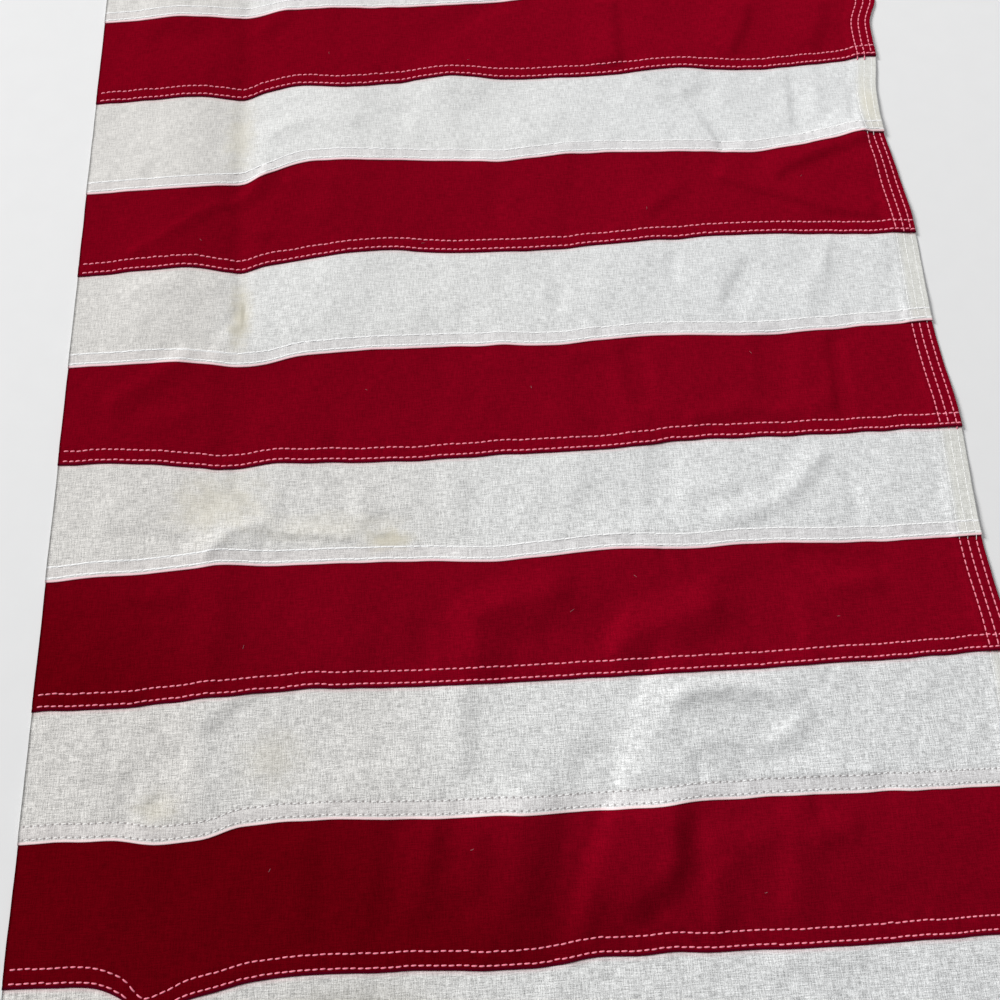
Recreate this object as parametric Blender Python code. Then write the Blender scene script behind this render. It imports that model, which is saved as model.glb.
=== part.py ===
"""A cut length of a sewn striped flag's fly end, lying face up on a flat surface.

Eleven cotton stripes, white and red by turns, each a strip of cloth of its own.
Each stripe's lower edge laps over the top of the next one, and all of them end at
the right in the flag's hemmed fly edge. The left, top and bottom are cut straight.

Metres, +Z up. X runs along the stripes towards the fly, Y up across them, and the
origin is under the middle of the piece, on the surface that it lies on.
"""

import bisect
import math

import bmesh
import bpy

MM = 0.001

# Driving dimensions, in metres
STRIPE_COUNT = 11
STRIPE_PITCH = 70.3 * MM      # a three foot hoist in thirteen stripes
HALF_LENGTH = 286 * MM        # half of the cut length along the stripes
CLOTH = 1.0 * MM              # thickness of one sheet
PLY_GAP = 0.3 * MM            # air between two sheets at a lap
LAP = 10 * MM                 # how far a stripe reaches over the next one
STEP_GAP = 0.6 * MM           # from the lower sheet's edge to the start of the step
STEP_RUN = 3 * MM             # length of the step where a sheet climbs onto the next
HEM_WIDTH = 15 * MM           # the fly hem
HEM_EXTRA = 1.0 * MM          # what the folded hem adds to the thickness
HEM_RUN = 1.5 * MM            # length of the slope up to the hem's thickness
SIDE_PULL = 110 * MM          # how far in from the fly its waves move the cloth
BODY_ROWS = 4                 # rows of points between a stripe's two laps

HALF_WIDTH = STRIPE_COUNT * STRIPE_PITCH / 2

RED = (0.30, 0.003, 0.012, 1.0)
WHITE = (0.66, 0.66, 0.62, 1.0)
COTTON_ROUGHNESS = 0.9

# The seams' drift from a straight line, in millimetres: (x, drift) at the points
# that each curve needs, numbered from the top of the piece. The sharp dip near
# x = -180 is where the flag was folded for storage.
SEAM_DRIFT = (
    ((-280, -4), (-215, -5), (-184, -7), (-150, -3), (-105, -3), (-35, -3), (60, 0), (280, 0)),
    ((-280, -7), (-212, -7), (-181, -10), (-165, -5), (-141, -1), (-105, -4), (-34, 1),
     (2, -2), (74, -3), (128, -1), (182, -4), (220, -3), (256, 0), (280, 3)),
    ((-280, -12), (-208, -12), (-179, -10), (-165, -5), (-140, 4), (-106, 4), (-37, 1),
     (-2, -2), (50, 2), (137, -2), (172, -4), (207, -1), (243, 3), (280, 7)),
    ((-280, -5), (-232, -4), (-205, -5), (-177, -9), (-160, -5), (-106, 1), (-73, 2),
     (-39, -2), (20, -3), (95, 0), (162, 1), (243, -3), (280, -4)),
    ((-280, -1), (-227, -1), (-202, -3), (-174, -7), (-138, -2), (-106, 0), (-10, -1),
     (22, -3), (87, 0), (151, -3), (217, -2), (280, 0)),
    ((-280, 4), (-241, 2), (-198, -3), (-186, -5), (-150, -3), (-76, -6), (-14, -5),
     (47, -5), (110, -2), (172, -3), (280, -3)),
    ((-280, 2), (-236, 3), (-195, 5), (-184, 6), (-160, 4), (-77, 2), (-18, -1),
     (42, 2), (101, 0), (131, 1), (203, -2), (280, -2)),
    ((-280, -2), (-231, -2), (-192, 0), (-135, 2), (-79, 0), (35, -1), (149, -1), (280, 1)),
    ((-280, 0), (-235, -1), (-209, -4), (-188, -3), (-165, 2), (-120, 3), (-80, 1),
     (28, -1), (100, 1), (176, 0), (280, -1)),
    ((-280, 0), (-228, -2), (-212, -9), (-184, -6), (-163, -2), (-133, 1), (-82, -1),
     (-18, -4), (21, -1), (152, -3), (280, -2)),
)

# The fly edge's waves: (y, how far the edge lies inside the half length), in millimetres
FLY_WAVES = (
    (-387, 12), (-316, 14), (-246, 17), (-176, 13), (-105, 16), (-35, 12), (35, 15), (100, 12),
    (140, 14), (186, 18), (220, 17), (249, 13), (267, 9), (284, 8), (301, 1), (350, 1), (387, 4),
)

# Folds that stand up from the surface, in millimetres: the points of the ridge's
# crest, its height, and how far each flank runs, first on the left of the way along
# the crest and then on its right. A sharp flank meets the surface at an angle, as at
# a pressed crease, and a soft one runs out level.
SOFT = "soft"
SHARP = "sharp"
FOLDS = (
    # on both sides of the storage crease
    (((-122, 400), (-108, 75)), 5.0, (58, SOFT), (64, SHARP)),
    (((-226, 400), (-222, 70)), 2.0, (42, SHARP), (45, SOFT)),
    # the small tent where the storage crease turns over, and the ridge that leaves it
    (((-192, -96), (-178, -79), (-154, -76)), 3.5, (22, SOFT), (20, SOFT)),
    (((-180, -100), (-185, -145), (-201, -178), (-199, -222)), 2.5, (22, SOFT), (18, SOFT)),
    # swells under the second seam
    (((-60, 246), (-22, 250)), 2.5, (32, SOFT), (32, SOFT)),
    (((100, 246), (145, 244)), 2.5, (34, SOFT), (34, SOFT)),
    # the long ridge at the lower right, with a low swell on either side
    (((84, -182), (72, -250), (66, -276), (36, -318)), 5.0, (15, SOFT), (46, SOFT)),
    (((-12, -236), (-20, -280), (-30, -310)), 2.5, (24, SOFT), (24, SOFT)),
    (((132, -246), (128, -276), (116, -312)), 2.5, (18, SOFT), (22, SOFT)),
    # ridges across the right half of the stripes, from the lowest up
    (((104, -217), (130, -216), (156, -196)), 2.0, (15, SOFT), (16, SOFT)),
    (((80, -186), (112, -184), (148, -196)), 2.0, (14, SOFT), (18, SOFT)),
    (((45, -156), (62, -142), (102, -134)), 2.5, (18, SOFT), (20, SOFT)),
    (((-40, -168), (-37, -134), (20, -124)), 2.0, (18, SOFT), (22, SOFT)),
    (((98, -88), (132, -86), (158, -70), (184, -42)), 3.0, (20, SOFT), (16, SOFT)),
    (((112, 50), (126, 75), (140, 98)), 2.0, (16, SOFT), (14, SOFT)),
    (((158, 56), (178, 85), (192, 106)), 2.5, (20, SOFT), (16, SOFT)),
    (((240, 196), (262, 150)), 3.0, (26, SOFT), (26, SOFT)),
    (((216, 330), (208, 262)), 2.0, (24, SOFT), (24, SOFT)),
)


def smooth_through(points, place):
    """The value at a place on the smooth curve through (place, value) points."""
    places = [p for p, _ in points]
    values = [v for _, v in points]
    if place <= places[0]:
        return values[0]
    if place >= places[-1]:
        return values[-1]

    def slope(i):
        before = max(i - 1, 0)
        after = min(i + 1, len(points) - 1)
        return (values[after] - values[before]) / (places[after] - places[before])

    right = bisect.bisect_right(places, place)
    left = right - 1
    span = places[right] - places[left]
    t = (place - places[left]) / span
    return (
        (2 * t**3 - 3 * t**2 + 1) * values[left]
        + (t**3 - 2 * t**2 + t) * span * slope(left)
        + (3 * t**2 - 2 * t**3) * values[right]
        + (t**3 - t**2) * span * slope(right)
    )


def smooth_step(t):
    """A soft rise from 0 at t = 0 to 1 at t = 1."""
    t = min(max(t, 0.0), 1.0)
    return t * t * (3 - 2 * t)


def flank(t, kind):
    """A fold's height as a share of its crest's, from t = 0 at the crest to 1 at its foot."""
    if t >= 1:
        return 0.0
    if kind == SHARP:
        return 1 - t * t
    return 1 - smooth_step(t)


def from_crest(crest, x, y):
    """How far a point lies from a ridge's crest: above 0 on its left and below on its right."""
    nearest = math.inf
    for (x0, y0), (x1, y1) in zip(crest, crest[1:]):
        run_x = x1 - x0
        run_y = y1 - y0
        share = ((x - x0) * run_x + (y - y0) * run_y) / (run_x**2 + run_y**2)
        share = min(max(share, 0.0), 1.0)
        distance = math.hypot(x - x0 - share * run_x, y - y0 - share * run_y)
        if distance < abs(nearest):
            left = (y - y0) * run_x > (x - x0) * run_y
            nearest = distance if left else -distance
    return nearest


def fold_height(fold, x, y):
    """How high one fold lifts the cloth at a point, all in millimetres."""
    crest, height, left, right = fold
    away = from_crest(crest, x, y)
    reach, kind = left if away > 0 else right
    return height * flank(abs(away) / reach, kind)


def cloth_height(x, y):
    """How high the cloth's underside lies over the surface, in metres."""
    return MM * sum(fold_height(fold, x / MM, y / MM) for fold in FOLDS)


def fly_inset(y):
    """How far the fly edge lies inside the half length."""
    return MM * smooth_through(FLY_WAVES, y / MM)


def seam_y(seam, x):
    """Where a seam's visible edge runs. Seam 0 lies under the topmost stripe."""
    level = ((STRIPE_COUNT - 2) / 2 - seam) * STRIPE_PITCH
    return level + MM * smooth_through(SEAM_DRIFT[seam], x / MM)


def thickness(from_fly):
    """The cloth's thickness at a distance from the fly edge: more in the folded hem."""
    return CLOTH + HEM_EXTRA * smooth_step((HEM_WIDTH + HEM_RUN - from_fly) / HEM_RUN)


def spread(first, last, count):
    """Evenly spaced values, both ends included."""
    return [first + (last - first) * i / (count - 1) for i in range(count)]


def columns():
    """Places along a stripe: close together at the storage crease and at the hem."""
    hem = HALF_LENGTH - HEM_WIDTH
    return (
        spread(-HALF_LENGTH, -206 * MM, 5)
        + spread(-196 * MM, -148 * MM, 7)
        + spread(-134 * MM, hem - 12 * MM, 28)
        + [hem - HEM_RUN, hem, HALF_LENGTH]
    )


def rows(stripe, x):
    """Points down a stripe at one place along it: (y, share of the climb onto the next)."""
    if stripe == 0:
        places = [(HALF_WIDTH, 0.0)]
        body_top = HALF_WIDTH
    else:
        edge_above = seam_y(stripe - 1, x)
        places = [(edge_above + LAP, 0.0), (edge_above, 0.0)]
        body_top = edge_above
    if stripe == STRIPE_COUNT - 1:
        body_end = -HALF_WIDTH
        tail = [(-HALF_WIDTH, 0.0)]
    else:
        edge = seam_y(stripe, x)
        step_top = edge + LAP + STEP_GAP
        body_end = step_top + STEP_RUN
        tail = [(body_end, 0.0), (step_top, 1.0), (edge, 1.0)]
    body = spread(body_top, body_end, BODY_ROWS + 2)[1:-1]
    return places + [(y, 0.0) for y in body] + tail


def stripe_underside(bm, stripe):
    """A grid of triangles on the stripe's underside. Gives each point's thickness."""
    places = columns()
    row_count = len(rows(stripe, 0.0))
    bmesh.ops.create_grid(bm, x_segments=len(places) - 1, y_segments=row_count - 1, size=1)
    bmesh.ops.triangulate(bm, faces=bm.faces[:], quad_method="FIXED")
    thick = {}
    for vertex in bm.verts:
        column = round((vertex.co.x + 1) / 2 * (len(places) - 1))
        row = round((1 - vertex.co.y) / 2 * (row_count - 1))
        along = places[column]
        y, climb = rows(stripe, along)[row]
        pulled = smooth_step((along - HALF_LENGTH + SIDE_PULL) / SIDE_PULL)
        x = along - fly_inset(y) * pulled
        thick[vertex] = thickness(HALF_LENGTH - along)
        lift = climb * (thick[vertex] + PLY_GAP)
        vertex.co = (x, y, cloth_height(x, y) + lift)
    return thick


def stripe_mesh(stripe):
    """A stripe's closed solid: its underside, raised by the cloth's thickness."""
    bm = bmesh.new()
    thick = stripe_underside(bm, stripe)
    ways_up = {(v.co.x, v.co.y): thick[v] for v in bm.verts}
    raised = bmesh.ops.extrude_face_region(bm, geom=bm.faces[:])
    for item in raised["geom"]:
        if isinstance(item, bmesh.types.BMVert):
            item.co.z += ways_up[(item.co.x, item.co.y)]
    bmesh.ops.recalc_face_normals(bm, faces=bm.faces[:])
    mesh = bpy.data.meshes.new(f"stripe_{stripe + 1:02d}")
    bm.to_mesh(mesh)
    bm.free()
    return mesh


def cotton(name, colour):
    """Matt cotton cloth of one colour."""
    material = bpy.data.materials.new(name)
    material.use_nodes = True
    shader = material.node_tree.nodes["Principled BSDF"]
    shader.inputs["Base Color"].default_value = colour
    shader.inputs["Roughness"].default_value = COTTON_ROUGHNESS
    shader.inputs["Metallic"].default_value = 0.0
    material.diffuse_color = colour
    return material


def build():
    """Clears the scene and lays the stripes side by side, white ones outermost."""
    for old in list(bpy.data.objects):
        bpy.data.objects.remove(old, do_unlink=True)
    white = cotton("white_cotton", WHITE)
    red = cotton("red_cotton", RED)
    for stripe in range(STRIPE_COUNT):
        mesh = stripe_mesh(stripe)
        mesh.materials.append(red if stripe % 2 else white)
        mesh.shade_smooth()
        mesh.set_sharp_from_angle(angle=math.radians(40))
        piece = bpy.data.objects.new(mesh.name, mesh)
        bpy.context.scene.collection.objects.link(piece)


build()
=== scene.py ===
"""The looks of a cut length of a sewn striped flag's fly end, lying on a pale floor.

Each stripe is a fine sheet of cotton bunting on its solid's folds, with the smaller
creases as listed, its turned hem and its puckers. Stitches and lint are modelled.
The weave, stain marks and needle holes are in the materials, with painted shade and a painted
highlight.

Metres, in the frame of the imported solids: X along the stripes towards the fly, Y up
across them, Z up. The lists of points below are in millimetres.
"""

import math
import random

import bpy
import numpy as np
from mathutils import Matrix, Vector


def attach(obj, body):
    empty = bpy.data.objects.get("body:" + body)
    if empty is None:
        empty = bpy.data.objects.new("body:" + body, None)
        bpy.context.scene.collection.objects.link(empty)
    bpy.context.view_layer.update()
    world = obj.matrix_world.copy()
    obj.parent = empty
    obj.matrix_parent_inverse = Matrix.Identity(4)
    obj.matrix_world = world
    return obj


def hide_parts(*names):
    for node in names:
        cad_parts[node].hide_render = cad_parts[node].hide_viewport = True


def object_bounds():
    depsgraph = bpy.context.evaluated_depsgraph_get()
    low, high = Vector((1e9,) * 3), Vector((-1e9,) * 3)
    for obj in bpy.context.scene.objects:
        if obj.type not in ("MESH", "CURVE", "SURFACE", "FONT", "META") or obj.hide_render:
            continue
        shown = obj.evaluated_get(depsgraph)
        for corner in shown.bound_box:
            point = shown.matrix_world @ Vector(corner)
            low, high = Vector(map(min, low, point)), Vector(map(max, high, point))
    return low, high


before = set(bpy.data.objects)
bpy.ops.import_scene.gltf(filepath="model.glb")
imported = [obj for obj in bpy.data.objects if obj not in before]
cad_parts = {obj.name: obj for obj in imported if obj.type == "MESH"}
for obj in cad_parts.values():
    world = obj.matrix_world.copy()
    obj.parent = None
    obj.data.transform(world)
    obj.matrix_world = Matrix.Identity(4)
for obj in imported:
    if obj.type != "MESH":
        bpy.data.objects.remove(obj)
CAD_LOW, CAD_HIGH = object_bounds()

MM = 0.001
STRIPE_COUNT = len(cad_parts)
HALF_LENGTH = -CAD_LOW.x
HALF_WIDTH = CAD_HIGH.y
PITCH = 2 * HALF_WIDTH / STRIPE_COUNT
LAST = STRIPE_COUNT - 1

# Cloth and sewing
CLOTH = 0.40 * MM             # one layer of bunting, with its nap
HEM_THICKNESS = 0.62 * MM     # a stripe's turned lower edge
LAP = 8.5 * MM                # how far a stripe's hem lies on the next one at full height
TUCK = 7 * MM                 # how much of a stripe lies hidden under the one above
STEP_RUN = 52 * MM            # over which a stripe rises to lie on the next one
AIR = 0.02 * MM               # between two layers
LEAST_LAYER = 0.1 * MM        # what a sheet keeps of its thickness under its grooves
EDGE_ROUND = 0.35 * MM        # how far in a folded edge is rounded
SEAM_ROWS = (2.5 * MM, 9.2 * MM)       # stitch rows, up from a hem's edge
FLY_HEM = 16.4 * MM           # the hem down the fly
FLY_EXTRA = 0.45 * MM         # what its folds add to the thickness
FLY_RUN = 6 * MM              # the slope up to it
FLY_ROWS = (3.6 * MM, 9 * MM, 14.5 * MM)   # stitch rows, in from the fly edge
SIDE_PULL = 110 * MM          # how far in from the fly its waves move the cloth
GROOVE_DEPTH = 0.18 * MM      # how far a row of stitches pulls the cloth down
GROOVE_HALF = 0.9 * MM        # half such a groove's width
PUCKER = 0.10 * MM            # how far the stitches pucker a seam
PUCKER_REACH = 7 * MM         # how far the puckers spread from its upper row
PUCKER_LENGTH = 9             # from one to the next, in millimetres
SEAM_WAVE = 0.2 * MM          # the small unevenness of a hem's edge
SEAM_WAVE_LENGTH = 30         # in millimetres
REST_HEIGHT = 1.1 * MM        # the cloth's usual height over the floor, between its folds
RIM = 40 * MM                 # how far in from its edges the cloth settles to the floor
RIM_SHARE = 0.15              # the share of that height that is left at its very edge
FLOOR_SOFTNESS = 0.3          # how softly a trough meets the floor, in millimetres
UNEVENNESS = ((0.22, 62, 3), (0.09, 19, 4))    # height and wavelength in millimetres, seed
FAR = 50 * MM                 # past this, a material doesn't ask how far off a hem is

# Stitches. Their lengths are shares of the pitch, with their spread.
STITCH_PITCH = 3.9 * MM
ON_RED_LENGTH = 0.80
OPEN_SEAM_LENGTH = 0.65
MEETING_LENGTH = 1.04         # on white, where the stitches meet in one line
LENGTH_SPREAD = 0.035
FLY_LENGTH = 0.88
FLY_LENGTH_SPREAD = 0.03
WANDER = 0.10                 # how far a stitch strays from its row, in millimetres
SLANT = 0.08 * MM             # how far its ends lie on either side of the row
THREAD_WIDTH = 0.82 * MM      # on red
TOP_WIDENING = 1.4            # how many times wider the thread is at the topmost stripe,
WIDENING_LOSS = 0.04          # and how much less than that at each one further down
LINE_WIDTH = 0.85 * MM        # on white, where the stitches meet in one line
FINE_WIDTH = 0.34 * MM        # on white, along the open seam
THREAD_HEIGHT = 0.40 * MM
LINE_HEIGHT = 0.15 * MM
THREAD_SIDES = 6
# A stitch from hole to hole: how far along, how thick and how high, as shares
STITCH_SHARES = (0.0, 0.12, 0.32, 0.5, 0.68, 0.88, 1.0)
STITCH_SIZES = (0.35, 0.8, 1.0, 1.0, 1.0, 0.8, 0.35)
STITCH_RISE = (-0.25, 0.05, 0.42, 0.5, 0.42, 0.05, -0.25)
LINE_SIZES = (0.8, 0.95, 1.0, 1.0, 1.0, 0.95, 0.8)
LINE_RISE = (0.2, 0.35, 0.45, 0.5, 0.45, 0.35, 0.2)

# Where a stripe's points lie, in millimetres: in from the fly edge, and up from its hem
NEAR_FLY = (0, 0.12, 0.4, 0.9, 1.6, 2.6, 3.6, 4.6, 6, 7.5, 9, 10.5, 12, 13.4, 14.5, 15.5, 16.3,
            17.2, 18.6, 20.6)
PAST_FLY = 23
COLUMN_STEP = 2.4
NEAR_HEM = (18, 15.5, 13.8, 12.6, 11.6, 10.6, 9.7, 8.75, 7.8, 6.3, 4.8, 3.4, 2.4, 1.5, 0.9, 0.45,
            0.15, 0)
UNDER_ABOVE = (1, 2.5)        # down from the line where it comes out from the stripe above
MIDDLE_ROWS = 21

# Camera: a phone held over the cloth, tilted a little away from straight down
CAMERA_PLACE = (-23.05 * MM, -191.0 * MM, 439.6 * MM)
CAMERA_TILT = math.radians(74.4)       # below the horizon
CAMERA_TURN = math.radians(3.3)        # to the right of +Y
LENS = 27.04                           # its focal length, and the sensor's width, in mm
SENSOR = 36.0

# Light: place, size and power. The window stands far off, beyond the cloth and to its left.
WINDOW = ((-8.14, 5.09, 6.07), 3.5, 1446)
WINDOW_TARGET = (0, 0.05, 0)
ROOM = ((0.5, 1.3, 1.5), 1.0, 8)
SKY = (0.97, 0.98, 1.0, 1)
SKY_STRENGTH = 0.20

# Colours. A pair is the two ends of the cloth's clouding or the thread's twist.
WARM_WHITE = ((0.764, 0.766, 0.754, 1), (0.748, 0.749, 0.733, 1))
COOL_WHITE = ((0.760, 0.770, 0.770, 1), (0.746, 0.753, 0.748, 1))
# the white's darker, yellower tone: partly yellowing, partly painted shade
YELLOWED_AND_SHADED_WHITE = (0.698, 0.680, 0.650, 1)
STAIN_AND_SHADE_TONE = (0.66, 0.61, 0.47, 1)
DARK_STAIN_AND_SHADE_TONE = (0.34, 0.32, 0.25, 1)
WHITE_OVER_RED = (0.73, 0.66, 0.665, 1)
WHITE_FLY_HEM = (0.80, 0.78, 0.66, 1)
# painted shade with red light in it, on the white just below a red hem
WHITE_SHADE_UNDER_RED = (0.80, 0.50, 0.52, 1)
PRESSED_THREAD = (1.0, 1.0, 1.0, 1)
# a painted pink highlight along a white hem's folded edge, lit by the red below
PINK_EDGE_HIGHLIGHT = ((1.0, 0.66, 0.70, 1), (1.0, 0.80, 0.79, 1))    # closed seams, and the open one
# painted shade, dark red from the red below, on the side of a white hem's edge
WHITE_EDGE_WALL_SHADE = (0.36, 0.02, 0.05, 1)
# painted shade in the open needle holes
NEEDLE_HOLE_SHADE = (0.20, 0.17, 0.17, 1)
RED = ((0.234, 0.0012, 0.0110, 1), (0.213, 0.0010, 0.0099, 1))
# the red towards the left, darker
LEFT_DARKER_RED = (0.190, 0.0007, 0.0080, 1)
# painted shadow over the lower left corner
CORNER_SHADE_RED = (0.130, 0.0003, 0.0036, 1)
# painted shade over the lowest red stripe
LOW_SHADE_RED = (0.110, 0.0003, 0.0036, 1)
# painted shade on a red hem's folded edge
RED_EDGE_SHADE = (0.050, 0.0006, 0.010, 1)
RED_SHEEN = (0.8, 0.004, 0.04, 1)
THREAD_ON_RED = ((1.0, 0.33, 0.42, 1), (0.92, 0.23, 0.32, 1))
THREAD_ON_WHITE = ((1.0, 1.0, 1.0, 1), (0.96, 0.96, 0.95, 1))
LINT_FIBRE = ((0.42, 0.20, 0.22, 1), (0.30, 0.12, 0.14, 1))
PALE_FLOOR = ((0.86, 0.86, 0.86, 1), (0.83, 0.83, 0.83, 1))
WHITE_RELIEF = 0.12 * MM      # the height of the weave's threads
RED_RELIEF = 0.10 * MM
TWIST_RELIEF = 0.1 * MM
RELIEF_STRENGTH = 0.8
FINEST = 0.60 * MM            # the weave's finest thread

# The seams' drift from a straight line: (x, drift), numbered from the top
SEAM_DRIFT = (
    ((-280, -4), (-215, -5), (-184, -7), (-150, -3), (-105, -3), (-35, -3), (60, 0), (280, 0)),
    ((-280, -7), (-212, -7), (-181, -10), (-165, -5), (-141, -1), (-105, -4), (-34, 1),
     (2, -2), (74, -3), (128, -1), (182, -4), (220, -3), (256, 0), (280, 3)),
    ((-280, -12), (-208, -12), (-179, -10), (-165, -5), (-140, 4), (-106, 4), (-37, 1),
     (-2, -2), (50, 2), (137, -2), (172, -4), (207, -1), (243, 3), (280, 7)),
    ((-280, -5), (-232, -4), (-205, -5), (-177, -9), (-160, -5), (-106, 1), (-73, 2),
     (-39, -2), (20, -3), (95, 0), (162, 1), (243, -3), (280, -4)),
    ((-280, -1), (-227, -1), (-202, -3), (-174, -7), (-138, -2), (-106, 0), (-10, -1),
     (22, -3), (87, 0), (151, -3), (217, -2), (280, 0)),
    ((-280, 4), (-241, 2), (-198, -3), (-186, -5), (-150, -3), (-76, -6), (-14, -5),
     (47, -5), (110, -2), (172, -3), (280, -3)),
    ((-280, 2), (-236, 3), (-195, 5), (-184, 6), (-160, 4), (-77, 2), (-18, -1),
     (42, 2), (101, 0), (131, 1), (203, -2), (280, -2)),
    ((-280, -2), (-231, -2), (-192, 0), (-135, 2), (-79, 0), (35, -1), (149, -1), (280, 1)),
    ((-280, 0), (-235, -1), (-209, -4), (-188, -3), (-165, 2), (-120, 3), (-80, 1),
     (28, -1), (100, 1), (176, 0), (280, -1)),
    ((-280, 2), (-240, 0), (-224, -6), (-214, -15), (-205, -13.5), (-192, -8.6), (-177, -5.6),
     (-158, -1.7), (-133, -0.3), (-82, -1.5), (-18, -4), (21, -1), (152, -3), (280, -2)),
)

# The fly edge's waves: (y, how far the edge lies inside the half length)
FLY_WAVES = (
    (-387, 12), (-316, 14), (-246, 17), (-176, 13), (-105, 16), (-35, 12), (35, 15), (100, 12),
    (140, 14), (186, 18), (220, 16), (240, 12), (250, 10.5), (261, 10.6), (270, 10.2), (278, 9.6),
    (284, 8.2), (291, 5.2), (301, 1.2), (350, 1), (387, 4),
)

# The main folds, which the solids have too, here fitted again to the photo: the crest's
# points, its height, and how far each flank runs, first on the left of the way along the
# crest. A sharp flank meets the level cloth at an angle.
SOFT = "soft"
SHARP = "sharp"
FOLDS = (
    # on both sides of the storage crease
    (((-124, 450), (-108, 75), (-104, 50)), 2.1, (58, SOFT), (70, SOFT)),
    (((-227, 440), (-222, 70), (-221, 50)), 2.0, (42, SHARP), (45, SOFT)),
    # the small tent where the storage crease turns over, and the ridge that leaves it
    (((-192, -96), (-178, -79), (-154, -76)), 1.6, (22, SOFT), (20, SOFT)),
    (((-184, -106), (-184, -127), (-187, -156), (-193, -180), (-193, -216), (-195, -238)),
     1.3, (24, SOFT), (20, SOFT)),
    # swells under the second seam
    (((-60, 246), (-22, 250)), 2.0, (32, SOFT), (32, SOFT)),
    (((100, 246), (145, 244)), 2.0, (34, SOFT), (34, SOFT)),
    # the long fold at the lower right, through two stripes, and the swells beside it
    (((68, -243), (65, -262), (65, -273), (59, -280), (46, -287), (36, -295)), 4.4,
     (15, SOFT), (38, SOFT)),
    (((90, -166), (70, -202), (60, -224), (56, -236)), 3.2, (46, SOFT), (21, SHARP)),
    (((-12, -236), (-20, -280), (-30, -310)), 3.2, (28, SOFT), (30, SOFT)),
    (((133, -250), (131, -272), (128, -290), (122, -306)), 2.0, (18, SOFT), (11, SOFT)),
    # folds across the right half of the stripes, from the lowest up
    (((84, -213), (104, -214), (118, -212)), 1.1, (12, SOFT), (12, SOFT)),
    (((72, -192), (84, -186), (104, -185), (126, -188), (144, -194)), 2.0, (6, SOFT), (10, SOFT)),
    (((42, -163), (60, -152), (84, -146), (108, -137)), 3.8, (18, SOFT), (22, SOFT)),
    (((-34, -168), (-35, -140), (-22, -134), (20, -126)), 3.4, (18, SOFT), (22, SOFT)),
    (((114, -88), (136, -85), (153, -78), (165, -69), (184, -50)), 1.4, (12, SOFT), (9, SOFT)),
    (((187, 57), (198, 69), (206, 78), (214, 98)), 0.9, (12, SOFT), (14, SOFT)),
    (((240, 196), (262, 150)), 2.5, (26, SOFT), (26, SOFT)),
    (((243, 304), (236, 280), (228, 260)), 1.5, (11, SOFT), (30, SOFT)),
)

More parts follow.
